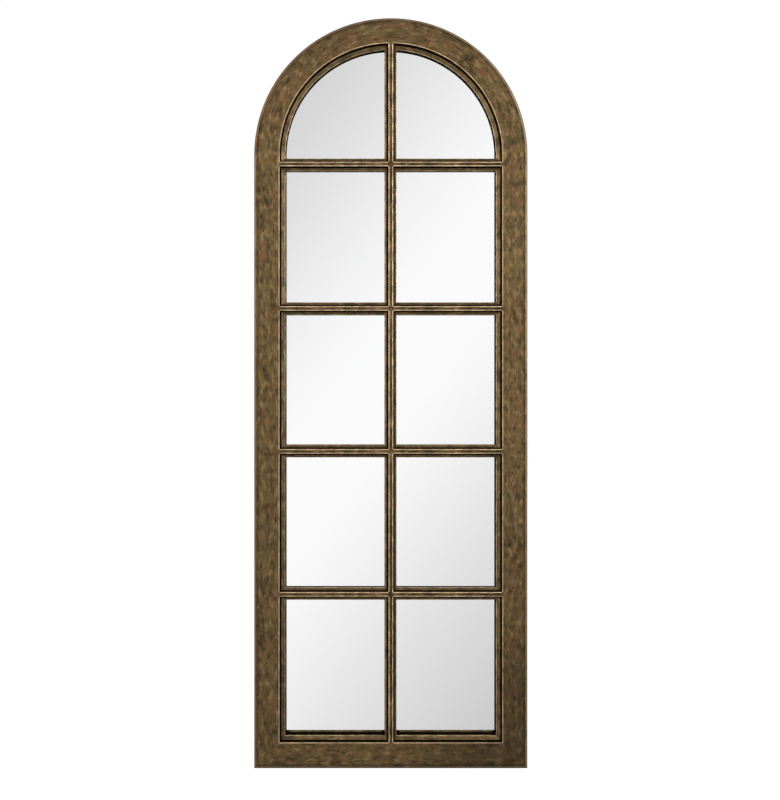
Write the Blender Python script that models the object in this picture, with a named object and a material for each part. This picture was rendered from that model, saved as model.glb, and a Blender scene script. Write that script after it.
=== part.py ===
"""Full-length wall mirror with an arched head, glazed like a window.

A timber frame wrapped in folded brass carries one arched mirror sheet. In front of
the sheet stands a grille of brass glazing bars, halved across each other so that
every face is flush with the frame. Round each pane runs a mitred brass bead with a
narrow quirk, bent to the curve in the two head panes. The mirror hangs on two
strap hangers with swinging rings.

Metres, +Z up. The front faces -Y. The origin is the middle of the underside.
"""

from math import cos, pi, sin, sqrt

import bmesh
import bpy
from mathutils import Matrix, Vector

# Driving dimensions of the frame
frame_width = 0.762
frame_depth = 0.040
face_width = 0.072
rail_width = 0.074
row_heights = (0.404, 0.384, 0.384, 0.388)
spring_rise = 0.0192
bar_width = 0.0142

# Clearance between pieces that touch
fit_gap = 0.0003

# Folded brass casings
sheet = 0.0012
inner_arris = 0.0025
outer_arris = 0.0055
back_return = 0.010
fold_steps = 3
arch_steps = 48

# Mirror sheet and backing board, and the stepped rebate that takes them
glass_depth = 0.024
glass_thickness = 0.004
glass_ledge = 0.008
board_thickness = 0.006
board_ledge = 0.020
edge_play = 0.001

# Glazing bars
bar_arris = 0.0020
tenon_width = 0.006
tenon_height = 0.012
tenon_length = 0.012

# Beads: the quirk is the sunk line beside each arris, the brow stands over it, and
# the nose over the mirror. The lowest strips have a wider lip, a small sill.
quirk = 0.0030
bead_sheet = 0.0008
bead_top = 0.0080
bead_fall = 0.0045
bead_brow = 0.0010
bead_nose = 0.0026
frame_band = 0.0114
cross_band = 0.0076
upright_band = 0.0062
frame_lip = 0.0034
foot_lip = 0.0120
bar_lip = 0.0006

# Dowels in the corner, springing and crown joints
dowel_radius = 0.004
dowel_length = 0.040
dowel_sides = 12
dowel_shares = (0.38, 0.66)

# Backing board screws
screw_radius = 0.00175
screw_tip_radius = 0.0008
screw_point = 0.003
screw_length = 0.018
screw_head_radius = 0.0036
screw_head_height = 0.0020
screw_sides = 8
stile_screws = 3
arch_screws = 4
rail_screws = 2

# Strap hangers
hanger_drop = 0.120
strap_width = 0.022
strap_length = 0.078
strap_sheet = 0.002
strap_first_screw = 0.036
strap_screw_pitch = 0.024
strap_screws = 2
ring_wire = 0.002
ring_width = 0.036
ring_drop = 0.024
ring_corner = 0.006
ring_corner_steps = 3
ring_bow_steps = 9
ring_sides = 8
strap_corner = 0.006
strap_corner_steps = 3
pin_play = 0.0003
knuckle_steps = 10

# Rubber wall bumpers
bumper_radius = 0.011
bumper_taper = 0.0015
bumper_edge = 0.001
bumper_sides = 24
bumper_inset = 0.085

cut_overrun = 0.002

# Levels and lines that follow from the sizes above
half_width = frame_width / 2
inner_half = half_width - face_width
bar_half = bar_width / 2
face_y = -frame_depth / 2
core_inset = sheet + fit_gap
core_back = frame_depth - core_inset
bar_depth = glass_depth - fit_gap
board_seat = glass_depth + glass_thickness
board_front = board_seat + fit_gap
board_back = board_front + board_thickness

row_floors = [rail_width]
for opening_height in row_heights:
    row_floors.append(row_floors[-1] + opening_height + bar_width)
bar_centres = [floor - bar_half for floor in row_floors[1:]]
spring_z = row_floors[-1] + spring_rise
crown_z = spring_z + inner_half

strap_back = core_back + fit_gap
knuckle_radius = ring_wire + pin_play + strap_sheet
ring_depth = strap_back + knuckle_radius
ring_z = spring_z - hanger_drop
standoff = ring_depth + knuckle_radius
hanger_x = inner_half + (board_ledge + face_width - back_return) / 2


def clear_scene():
    for old in list(bpy.data.objects):
        bpy.data.objects.remove(old, do_unlink=True)


def make_material(name, colour, roughness, metallic):
    material = bpy.data.materials.new(name)
    material.use_nodes = True
    shader = material.node_tree.nodes["Principled BSDF"]
    shader.inputs["Base Color"].default_value = (*colour, 1)
    shader.inputs["Roughness"].default_value = roughness
    shader.inputs["Metallic"].default_value = metallic
    return material


def finish(name, bm, material, turned=False):
    """Put the built mesh into an object of that name, faces outwards."""
    bmesh.ops.recalc_face_normals(bm, faces=bm.faces)
    mesh = bpy.data.meshes.new(name)
    bm.to_mesh(mesh)
    bm.free()
    mesh.materials.append(material)
    if turned:
        mesh.shade_smooth()
        mesh.set_sharp_from_angle(angle=pi / 6)
    obj = bpy.data.objects.new(name, mesh)
    bpy.context.scene.collection.objects.link(obj)
    return obj


def make_guide(name, bm):
    """A cutter or a tenon to be joined: hidden, and left out of the model."""
    guide = finish(name, bm, guide_material)
    guide.hide_render = True
    guide.display_type = "WIRE"
    return guide


def add_boolean(obj, operation, guide):
    modifier = obj.modifiers.new(guide.name, "BOOLEAN")
    modifier.operation = operation
    modifier.object = guide


def loft(bm, loops, caps):
    """Skin closed loops in order and close both ends with the given cap faces."""
    count = len(loops[0])
    for near, far in zip(loops, loops[1:]):
        for i in range(count):
            j = (i + 1) % count
            bm.faces.new((near[i], near[j], far[j], far[i]))
    for loop in (loops[0], loops[-1]):
        for cap in caps:
            bm.faces.new([loop[i] for i in cap])


def add_solid(bm, outline, rings):
    """A solid bar: the closed outline carried through the rings, with flat ends."""
    loops = [[bm.verts.new(ring(*point)) for point in outline] for ring in rings]
    loft(bm, loops, [range(len(outline))])


def fold(points, radii, wall):
    """Profile of sheet folded square at each inner point.

    Returns the outer points and the step from each to the sheet's other side. Moving
    along the points, the sheet lies to the right when depth is drawn downwards.
    """
    points = [Vector(point) for point in points]
    runs = [(b - a).normalized() for a, b in zip(points, points[1:])]
    sides = [Vector((-run.y, run.x)) for run in runs]
    profile = [(points[0], sides[0] * wall)]
    for point, radius, before, after in zip(points[1:-1], radii, sides, sides[1:]):
        if radius == 0:
            profile.append((point, (before + after) * wall))
            continue
        centre = point + (before + after) * radius
        for step in range(fold_steps + 1):
            turn = pi / 2 * step / fold_steps
            side = before * cos(turn) + after * sin(turn)
            profile.append((centre - side * radius, side * wall))
    profile.append((points[-1], sides[-1] * wall))
    return profile


def add_folded(bm, profile, rings):
    """A strip of folded sheet: both faces of the profile carried through the rings."""
    count = len(profile)
    loops = []
    for ring in rings:
        outer = [bm.verts.new(ring(*point)) for point, step in profile]
        inner = [bm.verts.new(ring(*(point + step))) for point, step in profile]
        loops.append(outer + inner[::-1])
    last = 2 * count - 1
    loft(bm, loops, [(i, i + 1, last - i - 1, last - i) for i in range(count - 1)])


def add_turned(bm, profile, centre, axis, sides):
    """A turned solid: (radius, height) pairs spun round the axis, ends closed flat."""
    turn = Vector((0, 0, 1)).rotation_difference(axis).to_matrix()
    loops = []
    for radius, height in profile:
        angles = [2 * pi * (i + 0.5) / sides for i in range(sides)]
        points = [Vector((radius * cos(a), radius * sin(a), height)) for a in angles]
        loops.append([bm.verts.new(centre + turn @ point) for point in points])
    loft(bm, loops, [range(sides)])


def add_block(bm, low, high):
    low, high = Vector(low), Vector(high)
    size = Matrix.Diagonal((*(high - low), 1))
    middle = Matrix.Translation((low + high) / 2)
    bmesh.ops.create_cube(bm, size=1, matrix=middle @ size)


def at_depth(x, z, depth):
    return Vector((x, face_y + depth, z))


def facet_reach(angle):
    """How far short of the true circle the faceted arch is at this angle."""
    half_step = pi / arch_steps / 2
    offset = angle % (2 * half_step) - half_step
    return cos(half_step) / cos(offset)


# Rings: where a point of a section (across, depth) lies at one place along a member.
# Across runs outwards from the frame's inner arris, or into the pane on a bead.


def stile_ring(side, level):
    return lambda across, depth: at_depth(side * (inner_half + across), level(across), depth)


def rail_ring(side, reach):
    return lambda across, depth: at_depth(side * reach(across), rail_width - across, depth)


def arch_ring(angle):
    def ring(across, depth):
        radius = inner_half + across
        return at_depth(radius * cos(angle), spring_z + radius * sin(angle), depth)

    return ring


def stile_mitre(across):
    return rail_width * (1 - across / face_width) + fit_gap


def rail_mitre(across):
    return inner_half + face_width * across / rail_width - fit_gap


def stile_rings(side):
    return [stile_ring(side, stile_mitre), stile_ring(side, lambda across: spring_z - fit_gap)]


def rail_rings():
    return [rail_ring(-1, rail_mitre), rail_ring(1, rail_mitre)]


def arch_rings(first, last):
    return [arch_ring(pi * step / arch_steps) for step in range(first, last + 1)]


def casing_profile(width):
    """Inner wall, face, outer wall and a return over the back edge."""
    points = (
        (0, bar_depth),
        (0, 0),
        (width, 0),
        (width, frame_depth),
        (width - back_return, frame_depth),
    )
    return fold(points, (inner_arris, outer_arris, 0), sheet)


def core_outline(width):
    """Timber inside the casing, with a step for the mirror and one for the board.

    Its front corners are planed off where the brass turns round them.
    """
    outer = width - core_inset
    inner_corner = inner_arris - sheet
    outer_corner = outer_arris - sheet
    return (
        (core_inset, core_inset + inner_corner),
        (core_inset + inner_corner, core_inset),
        (outer - outer_corner, core_inset),
        (outer, core_inset + outer_corner),
        (outer, core_back),
        (board_ledge, core_back),
        (board_ledge, board_seat),
        (glass_ledge, board_seat),
        (glass_ledge, bar_depth),
        (core_inset, bar_depth),
    )


def build_casings():
    for side, name in ((-1, "left_stile_casing"), (1, "right_stile_casing")):
        bm = bmesh.new()
        add_folded(bm, casing_profile(face_width), stile_rings(side))
        casings[name] = finish(name, bm, brass)
    bm = bmesh.new()
    add_folded(bm, casing_profile(rail_width), rail_rings())
    casings["bottom_rail_casing"] = finish("bottom_rail_casing", bm, brass)
    bm = bmesh.new()
    add_folded(bm, casing_profile(face_width), arch_rings(0, arch_steps))
    casings["arch_casing"] = finish("arch_casing", bm, brass)


def build_cores():
    for side, name in ((-1, "left_stile_core"), (1, "right_stile_core")):
        bm = bmesh.new()
        add_solid(bm, core_outline(face_width), stile_rings(side))
        cores[name] = finish(name, bm, timber)
    bm = bmesh.new()
    add_solid(bm, core_outline(rail_width), rail_rings())
    cores["bottom_rail_core"] = finish("bottom_rail_core", bm, timber)
    crown = arch_steps // 2
    play = fit_gap / 2 / inner_half
    halves = (
        ("right_arch_core", arch_rings(0, crown - 1) + [arch_ring(pi / 2 - play)]),
        ("left_arch_core", [arch_ring(pi / 2 + play)] + arch_rings(crown + 1, arch_steps)),
    )
    for name, rings in halves:
        bm = bmesh.new()
        add_solid(bm, core_outline(face_width), rings)
        cores[name] = finish(name, bm, timber)


def joint_dowels():
    """Name, centre and direction of each dowel: two to a joint."""
    spots = []
    depth = (core_inset + core_back) / 2
    mitre_normal = Vector((rail_width, 0, face_width)).normalized()
    for number, share in enumerate(dowel_shares, 1):
        across = face_width * share
        for side, hand in ((-1, "left"), (1, "right")):
            x = side * (inner_half + across)
            springing = at_depth(x, spring_z, depth)
            spots.append((f"{hand}_springing_dowel_{number}", springing, Vector((0, 0, 1))))
            corner = at_depth(x, rail_width * (1 - share), depth)
            normal = Vector((side * mitre_normal.x, 0, mitre_normal.z))
            spots.append((f"{hand}_corner_dowel_{number}", corner, normal))
        crown = at_depth(0, crown_z + across, depth)
        spots.append((f"crown_dowel_{number}", crown, Vector((1, 0, 0))))
    return spots


def rod(radius, length):
    return ((radius, -length / 2), (radius, length / 2))


def build_dowels():
    bores = bmesh.new()
    for name, centre, axis in joint_dowels():
        bm = bmesh.new()
        add_turned(bm, rod(dowel_radius, dowel_length), centre, axis, dowel_sides)
        finish(name, bm, timber, turned=True)
        bore = rod(dowel_radius + fit_gap, dowel_length + 2 * fit_gap)
        add_turned(bores, bore, centre, axis, dowel_sides)
    guide = make_guide("dowel_bores", bores)
    for core in cores.values():
        add_boolean(core, "DIFFERENCE", guide)


def plate_outline(across):
    """The pane opening, arch and all, grown by across on every side."""
    reach = inner_half + across
    outline = [(-reach, rail_width - across), (reach, rail_width - across)]
    for step in range(arch_steps + 1):
        angle = pi * step / arch_steps
        outline.append((reach * cos(angle), spring_z + reach * sin(angle)))
    return outline


def build_plate(name, across, front, back, material):
    bm = bmesh.new()
    loops = []
    for depth in (front, back):
        loops.append([bm.verts.new(at_depth(x, z, depth)) for x, z in plate_outline(across)])
    loft(bm, loops, [range(len(loops[0]))])
    return finish(name, bm, material)


def board_screw_spots():
    """Screws stand half way across the board's ledge, clear of the mirror's edge."""
    across = (glass_ledge + board_ledge) / 2
    reach = inner_half + across
    spots = []
    for i in range(stile_screws):
        level = rail_width + (spring_z - rail_width) * (i + 0.5) / stile_screws
        spots += [(-reach, level), (reach, level)]
    for i in range(arch_screws):
        angle = pi * (i + 0.5) / arch_screws
        spots.append((reach * cos(angle), spring_z + reach * sin(angle)))
    for i in range(rail_screws):
        share = (i + 0.5) / rail_screws
        spots.append((inner_half * (2 * share - 1), rail_width - across))
    return spots


def screw_profile(length):
    """A pan-head screw, from its point to its crown; height 0 is under the head."""
    return (
        (screw_tip_radius, -length),
        (screw_radius, screw_point - length),
        (screw_radius, 0),
        (screw_head_radius, 0),
        (screw_head_radius, screw_head_height / 2),
        (screw_head_radius - screw_head_height / 2, screw_head_height),
    )


def build_screws(name, spots, seat, holders):
    """Screws seated at a depth, with the holes they need cut in what they hold."""
    holes = bmesh.new()
    hole_radius = screw_radius + fit_gap
    hole = ((hole_radius, -screw_length - fit_gap), (hole_radius, fit_gap + cut_overrun))
    outwards = Vector((0, 1, 0))
    for number, (x, z) in enumerate(spots, 1):
        centre = at_depth(x, z, seat + fit_gap)
        bm = bmesh.new()
        add_turned(bm, screw_profile(screw_length), centre, outwards, screw_sides)
        finish(f"{name}_{number}", bm, steel, turned=True)
        add_turned(holes, hole, centre, outwards, screw_sides)
    guide = make_guide(name + "_holes", holes)
    for holder in holders:
        add_boolean(holder, "DIFFERENCE", guide)


def bar_outline():
    """Section of a glazing bar as (across, depth): eased front arrises, square back."""
    outline = [(-bar_half, bar_depth)]
    for side in (-1, 1):
        for step in range(fold_steps):
            turn = pi / 2 * step / (fold_steps - 1)
            if side > 0:
                turn = pi / 2 - turn
            across = bar_half - bar_arris + bar_arris * cos(turn)
            outline.append((side * across, bar_arris - bar_arris * sin(turn)))
    outline.append((bar_half, bar_depth))
    return outline


def tenon_block(bm, x, z, along_x, play):
    """A tenon centred in the bar's depth, whose shoulder is at (x, z)."""
    wide = tenon_width / 2 + play
    middle = face_y + bar_depth / 2
    tall = tenon_height / 2 + play
    overlap = tenon_width if play == 0 else cut_overrun
    if along_x:
        side = 1 if x > 0 else -1
        ends = sorted((x - side * overlap, x + side * (tenon_length + play)))
        add_block(bm, (ends[0], middle - tall, z - wide), (ends[1], middle + tall, z + wide))
    else:
        side = 1 if z > spring_z else -1
        ends = sorted((z - side * overlap, z + side * (tenon_length + play)))
        add_block(bm, (x - wide, middle - tall, ends[0]), (x + wide, middle + tall, ends[1]))


def build_bars():
    """One upright and a cross bar between each two rows, halved where they cross.

    The upright keeps its front half at a crossing and the cross bars their back half.
    Each end has a tenon through the casing into the timber.
    """
    head = spring_z + sqrt(inner_half**2 - bar_half**2) * facet_reach(pi / 2) - fit_gap
    foot = rail_width + fit_gap
    lap_half = bar_half + fit_gap / 2
    lap_middle = face_y + bar_depth / 2

    bm = bmesh.new()
    levels = (foot, head)
    rings = [lambda across, depth, z=z: at_depth(across, z, depth) for z in levels]
    add_solid(bm, bar_outline(), rings)
    upright = finish("upright_bar", bm, brass)
    tenons, laps, mortises = bmesh.new(), bmesh.new(), bmesh.new()
    for z in levels:
        tenon_block(tenons, 0, z, False, 0)
        tenon_block(mortises, 0, z, False, fit_gap)
    for z in bar_centres:
        low = (-bar_half - cut_overrun, lap_middle - fit_gap / 2, z - lap_half)
        high = (bar_half + cut_overrun, face_y + bar_depth + cut_overrun, z + lap_half)
        add_block(laps, low, high)
    add_boolean(upright, "UNION", make_guide("upright_tenons", tenons))
    add_boolean(upright, "DIFFERENCE", make_guide("upright_laps", laps))
    guide = make_guide("upright_mortises", mortises)
    held = ("bottom_rail_casing", "arch_casing", "bottom_rail_core", "left_arch_core")
    for name in held + ("right_arch_core",):
        add_boolean({**casings, **cores}[name], "DIFFERENCE", guide)

    mortises = bmesh.new()
    reach = inner_half - fit_gap
    for number, z in enumerate(bar_centres, 1):
        bm = bmesh.new()
        rings = [lambda across, depth, x=x, z=z: at_depth(x, z + across, depth) for x in (-reach, reach)]
        add_solid(bm, bar_outline(), rings)
        bar = finish(f"cross_bar_{number}", bm, brass)
        tenons, laps = bmesh.new(), bmesh.new()
        for x in (-reach, reach):
            tenon_block(tenons, x, z, True, 0)
            tenon_block(mortises, x, z, True, fit_gap)
        low = (-lap_half, face_y - cut_overrun, z - bar_half - cut_overrun)
        high = (lap_half, lap_middle + fit_gap / 2, z + bar_half + cut_overrun)
        add_block(laps, low, high)
        add_boolean(bar, "UNION", make_guide(f"cross_tenons_{number}", tenons))
        add_boolean(bar, "DIFFERENCE", make_guide(f"cross_lap_{number}", laps))
    guide = make_guide("cross_mortises", mortises)
    for name in ("left_stile_casing", "right_stile_casing"):
        add_boolean(casings[name], "DIFFERENCE", guide)
    for name in ("left_stile_core", "right_stile_core"):
        add_boolean(cores[name], "DIFFERENCE", guide)


def bead_section(band, lip):
    """Closed section of a pressed bead as (across, depth), wide by its band and lip.

    From the foot beside the bar it stands up out of the quirk to its brow, falls away
    to its nose, and drops to the mirror, where it turns out in a lip.
    """
    foot = bar_depth - bead_sheet
    inner = quirk + band
    points = (
        (fit_gap, foot),
        (quirk, foot),
        (quirk, bead_top),
        (inner, bead_top),
        (inner, foot),
        (inner + lip, foot),
    )
    profile = fold(points, (0, bead_brow, bead_nose, 0), bead_sheet)
    outer = [fallen(point, band) for point, step in profile]
    inner = [fallen(point + step, band) for point, step in profile]
    return outer + inner[::-1]


def fallen(point, band):
    """Lower a point of the bead's top in proportion to its way across the band.

    A point below the middle of the inner wall stands on the mirror and stays.
    """
    if point.y > (bead_top + bead_nose + bar_depth) / 2:
        return point
    share = min(max((point.x - quirk) / band, 0), 1)
    return point + Vector((0, bead_fall * share))


def bead_reach(band, lip):
    """Across values of a bead's section."""
    return [point.x for point in bead_section(band, lip)]


def build_bead(name, side, stations):
    """A closed ring: each station gives x and z for every point of the section.

    Every strip has the same depths, whatever its width.
    """
    bm = bmesh.new()
    depths = [point.y for point in bead_section(frame_band, frame_lip)]
    loops = []
    for xs, zs in stations:
        points = [at_depth(side * x, z, depth) for x, z, depth in zip(xs, zs, depths)]
        loops.append([bm.verts.new(point) for point in points])
    loft(bm, loops + [loops[0]], [])
    return finish(name, bm, brass)


def square_stations(row):
    """The four mitred corners of the bead round an upright pane."""
    floor = row_floors[row]
    ceiling = floor + row_heights[row]
    cross = bead_reach(cross_band, bar_lip)
    foot = bead_reach(frame_band, foot_lip) if row == 0 else cross
    near = [bar_half + across for across in bead_reach(upright_band, bar_lip)]
    far = [inner_half - across for across in bead_reach(frame_band, frame_lip)]
    low = [floor + across for across in foot]
    high = [ceiling - across for across in cross]
    return [(near, low), (far, low), (far, high), (near, high)]


def head_stations():
    """The bead round a quarter-round pane: two corners, the bend, and the crown."""
    near = [bar_half + across for across in bead_reach(upright_band, bar_lip)]
    far = [inner_half - across for across in bead_reach(frame_band, frame_lip)]
    low = [row_floors[-1] + across for across in bead_reach(cross_band, bar_lip)]
    stations = [(near, low), (far, low)]
    for step in range(arch_steps // 2):
        angle = pi * step / arch_steps
        xs = [radius * cos(angle) for radius in far]
        zs = [spring_z + radius * sin(angle) for radius in far]
        stations.append((xs, zs))
    reach = facet_reach(pi / 2)
    high = [spring_z + sqrt((r * reach) ** 2 - x**2) for r, x in zip(far, near)]
    stations.append((near, high))
    return stations


def build_beads():
    for side, hand in ((-1, "left"), (1, "right")):
        for row in range(len(row_heights)):
            build_bead(f"{hand}_pane_bead_{row + 1}", side, square_stations(row))
        build_bead(f"{hand}_head_bead", side, head_stations())


def strap_profile():
    """Side view of a hanger strap as (height over the ring's axis, depth) pairs.

    Up the back of the stile, then curled three quarters round the ring's bar.
    """
    profile = [((knuckle_radius - strap_length, strap_back + strap_sheet), (0, -strap_sheet))]
    eye = knuckle_radius - strap_sheet
    for step in range(knuckle_steps + 1):
        turn = 1.5 * pi * step / knuckle_steps
        up, out = sin(turn), -cos(turn)
        inner = (eye * up, ring_depth + eye * out)
        profile.append((inner, (strap_sheet * up, strap_sheet * out)))
    return [(Vector(point), Vector(step)) for point, step in profile]


def build_strap(name, x):
    """A strap with its two lower corners rounded off."""
    bm = bmesh.new()
    rings = []
    for edge in (x - strap_width / 2, x + strap_width / 2):
        rings.append(lambda up, depth, edge=edge: at_depth(edge, ring_z + up, depth))
    add_folded(bm, strap_profile(), rings)
    foot = min(vert.co.z for vert in bm.verts)
    corners = []
    for edge in bm.edges:
        near, far = (vert.co for vert in edge.verts)
        if near.x == far.x and near.z == far.z == foot:
            corners.append(edge)
    bmesh.ops.bevel(
        bm, geom=corners, offset=strap_corner, segments=strap_corner_steps,
        affect="EDGES", profile=0.5,
    )
    return finish(name, bm, steel)


def ring_path():
    """Centre line of a hanging ring as (x, z): a D with rounded shoulders.

    From the bar it turns down round each shoulder, and a half ellipse joins them.
    """
    inner = ring_width / 2 - ring_corner
    right = []
    for step in range(ring_corner_steps + 1):
        turn = pi / 2 * step / ring_corner_steps
        right.append((inner + ring_corner * sin(turn), ring_corner * (cos(turn) - 1)))
    for step in range(1, ring_bow_steps):
        turn = pi / 2 * step / ring_bow_steps
        x = ring_width / 2 * cos(turn)
        right.append((x, -ring_corner - (ring_drop - ring_corner) * sin(turn)))
    left = [(-x, z) for x, z in reversed(right)]
    return [Vector(point) for point in right + [(0, -ring_drop)] + left]


def build_ring(name, x):
    """Wire swept round the closed path; its object's origin is on its swing axis."""
    path = ring_path()
    bm = bmesh.new()
    loops = []
    for i, point in enumerate(path):
        before = (point - path[i - 1]).normalized()
        after = (path[(i + 1) % len(path)] - point).normalized()
        along = (before + after).normalized()
        across = Vector((-along.y, along.x)) / along.dot(after)
        loop = []
        for side in range(ring_sides):
            angle = 2 * pi * (side + 0.5) / ring_sides
            flat = point + across * ring_wire * cos(angle)
            loop.append(bm.verts.new((flat.x, ring_wire * sin(angle), flat.y)))
        loops.append(loop)
    loft(bm, loops + [loops[0]], [])
    ring = finish(name, bm, steel, turned=True)
    ring.location = at_depth(x, ring_z, ring_depth)
    return ring


def build_hangers():
    for side, hand in ((-1, "left"), (1, "right")):
        x = side * hanger_x
        strap = build_strap(f"{hand}_hanger_strap", x)
        build_ring(f"{hand}_hanger_ring", x)
        levels = [ring_z - strap_first_screw - i * strap_screw_pitch for i in range(strap_screws)]
        spots = [(x, level) for level in levels]
        holders = (strap, cores[f"{hand}_stile_core"])
        build_screws(f"{hand}_hanger_screw", spots, strap_back + strap_sheet, holders)


def build_bumpers():
    """Two rubber feet that keep the bottom as far off the wall as the hangers do."""
    height = standoff - core_back - fit_gap
    profile = (
        (bumper_radius, 0),
        (bumper_radius - bumper_taper, height - bumper_edge),
        (bumper_radius - bumper_taper - bumper_edge, height),
    )
    level = rail_width - (board_ledge + rail_width - back_return) / 2
    for side, name in ((-1, "left_wall_bumper"), (1, "right_wall_bumper")):
        bm = bmesh.new()
        centre = at_depth(side * (half_width - bumper_inset), level, core_back + fit_gap)
        add_turned(bm, profile, centre, Vector((0, 1, 0)), bumper_sides)
        finish(name, bm, rubber, turned=True)


clear_scene()
brass = make_material("aged_brass", (0.105, 0.074, 0.036), 0.5, 1)
timber = make_material("timber", (0.42, 0.27, 0.15), 0.7, 0)
silvered = make_material("silvered_glass", (0.92, 0.93, 0.93), 0.02, 1)
fibreboard = make_material("fibreboard", (0.16, 0.11, 0.07), 0.8, 0)
steel = make_material("zinc_steel", (0.55, 0.54, 0.5), 0.35, 1)
rubber = make_material("black_rubber", (0.02, 0.02, 0.02), 0.7, 0)
guide_material = make_material("guide", (1, 0, 0), 1, 0)
casings = {}
cores = {}
build_casings()
build_cores()
build_dowels()
build_bars()
build_beads()
build_plate("mirror_glass", glass_ledge - edge_play, glass_depth, board_seat, silvered)
board = build_plate(
    "backing_board", board_ledge - edge_play, board_front, board_back, fibreboard
)
board_holders = (board, *cores.values())
build_screws("board_screw", board_screw_spots(), board_back, board_holders)
build_hangers()
build_bumpers()
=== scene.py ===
"""The looks of an arched window mirror in aged brass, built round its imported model.

Metres, +Z up, the front towards -Y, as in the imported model. Sizes that the model
already has are read from its boxes, and the rest stand with the piece they belong to.
"""

from math import pi, radians

import bpy
import numpy as np
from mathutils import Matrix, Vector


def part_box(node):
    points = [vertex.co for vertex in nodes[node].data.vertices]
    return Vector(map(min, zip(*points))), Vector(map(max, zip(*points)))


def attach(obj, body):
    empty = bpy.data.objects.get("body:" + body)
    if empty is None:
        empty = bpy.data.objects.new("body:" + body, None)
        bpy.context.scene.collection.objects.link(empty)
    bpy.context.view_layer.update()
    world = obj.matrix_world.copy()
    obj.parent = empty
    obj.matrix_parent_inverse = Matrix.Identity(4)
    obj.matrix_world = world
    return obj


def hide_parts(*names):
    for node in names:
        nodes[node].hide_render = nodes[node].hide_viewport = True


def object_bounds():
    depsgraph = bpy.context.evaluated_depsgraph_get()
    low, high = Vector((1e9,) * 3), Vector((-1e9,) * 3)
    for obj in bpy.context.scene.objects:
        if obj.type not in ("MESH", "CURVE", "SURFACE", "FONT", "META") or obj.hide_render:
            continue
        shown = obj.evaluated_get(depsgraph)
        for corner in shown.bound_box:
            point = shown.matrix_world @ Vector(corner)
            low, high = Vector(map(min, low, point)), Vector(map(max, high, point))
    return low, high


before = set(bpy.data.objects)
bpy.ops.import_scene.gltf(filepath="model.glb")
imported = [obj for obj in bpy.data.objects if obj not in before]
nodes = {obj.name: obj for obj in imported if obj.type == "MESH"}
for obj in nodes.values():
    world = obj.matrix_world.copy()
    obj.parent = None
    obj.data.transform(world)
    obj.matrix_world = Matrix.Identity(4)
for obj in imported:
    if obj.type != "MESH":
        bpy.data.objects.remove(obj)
model_low, model_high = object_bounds()


# The room is plain and white, with a pale floor that the mirror stands on. Two broad
# soft lights stand in front, one on each side. What the glass gives back is a slant
# sweep of light, brightest from low left to high right, and the background is white.
photo_size = (780, 800)
top_pixel, foot_pixel = 17.75, 768.6
middle_pixel = 390.9
eye_pixel = (330, 373)
eye_distance = 3.32
sensor = 36

floor_reach = 9
floor_white = (0.93, 0.93, 0.925, 1)
floor_rough = 0.7
floor_glow = 0.50
room_white = (1, 1, 1, 1)
sweep_direction = (0.78, 0, -0.62)
sweep_stops = (
    (-1.0, 0.60), (-0.55, 0.85), (-0.28, 0.57), (-0.158, 0.67), (-0.062, 0.88), (0.046, 1.08),
    (0.145, 0.86), (0.225, 0.72), (0.30, 0.57), (0.45, 0.42), (1.0, 0.55),
)
softbox_size = (1.6, 1.8)
softbox_aim = (0, 0, 1.2)
softboxes = (("right_softbox", (2.1, -2.3, 1.95), 42), ("left_softbox", (-1.9, -2.3, 2.0), 33))
camera_turn = (pi / 2, 0, 0)


def add_node(tree, kind, inputs=None, **settings):
    """A shader node with its settings, each input given a value or wired to a socket."""
    made = tree.nodes.new("ShaderNode" + kind)
    for key, value in settings.items():
        setattr(made, key, value)
    for key, value in (inputs or {}).items():
        if isinstance(value, bpy.types.NodeSocket):
            tree.links.new(value, made.inputs[key])
        else:
            made.inputs[key].default_value = value
    return made


def new_finish(name, **plain):
    """A material, with its plain values set on the Principled shader's own sockets."""
    finish = bpy.data.materials.new(name)
    finish.use_nodes = True
    shader = finish.node_tree.nodes["Principled BSDF"]
    for key, value in plain.items():
        shader.inputs[key.replace("_", " ").title()].default_value = value
    return finish, finish.node_tree, shader


def add_to_scene(name, data):
    made = bpy.data.objects.new(name, data)
    bpy.context.scene.collection.objects.link(made)
    return made


floor_mesh = bpy.data.meshes.new("floor")
floor_corners = [
    (x * floor_reach, y * floor_reach, model_low.z) for x, y in ((-1, -1), (1, -1), (1, 1), (-1, 1))
]
floor_mesh.from_pydata(floor_corners, [], [(0, 1, 2, 3)])
floor_paint, tree, shader = new_finish(
    "floor", base_color=floor_white, roughness=floor_rough, emission_color=floor_white,
    emission_strength=floor_glow,
)
floor_mesh.materials.append(floor_paint)
floor = add_to_scene("floor", floor_mesh)
floor.visible_glossy = False

world = bpy.data.worlds.new("room")
bpy.context.scene.world = world
world.use_nodes = True
sky = world.node_tree
heading = add_node(sky, "TexCoord").outputs["Generated"]
slant = add_node(sky, "VectorMath", {0: heading, 1: sweep_direction}, operation="DOT_PRODUCT")
share = add_node(sky, "MapRange", {"Value": slant.outputs["Value"], "From Min": -1, "From Max": 1})
sweep = add_node(sky, "ValToRGB", {"Fac": share.outputs["Result"]})
sweep.color_ramp.interpolation = "B_SPLINE"
while len(sweep.color_ramp.elements) < len(sweep_stops):
    sweep.color_ramp.elements.new(0.5)
for stop, (cosine, light) in zip(sweep.color_ramp.elements, sweep_stops):
    stop.position = (cosine + 1) / 2
    stop.color = (light, light, light, 1)
seen = add_node(sky, "LightPath").outputs["Is Camera Ray"]
room = add_node(sky, "Mix", {0: seen, 6: sweep.outputs["Color"], 7: room_white}, data_type="RGBA")
sky.links.new(room.outputs[2], sky.nodes["Background"].inputs["Color"])

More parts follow.
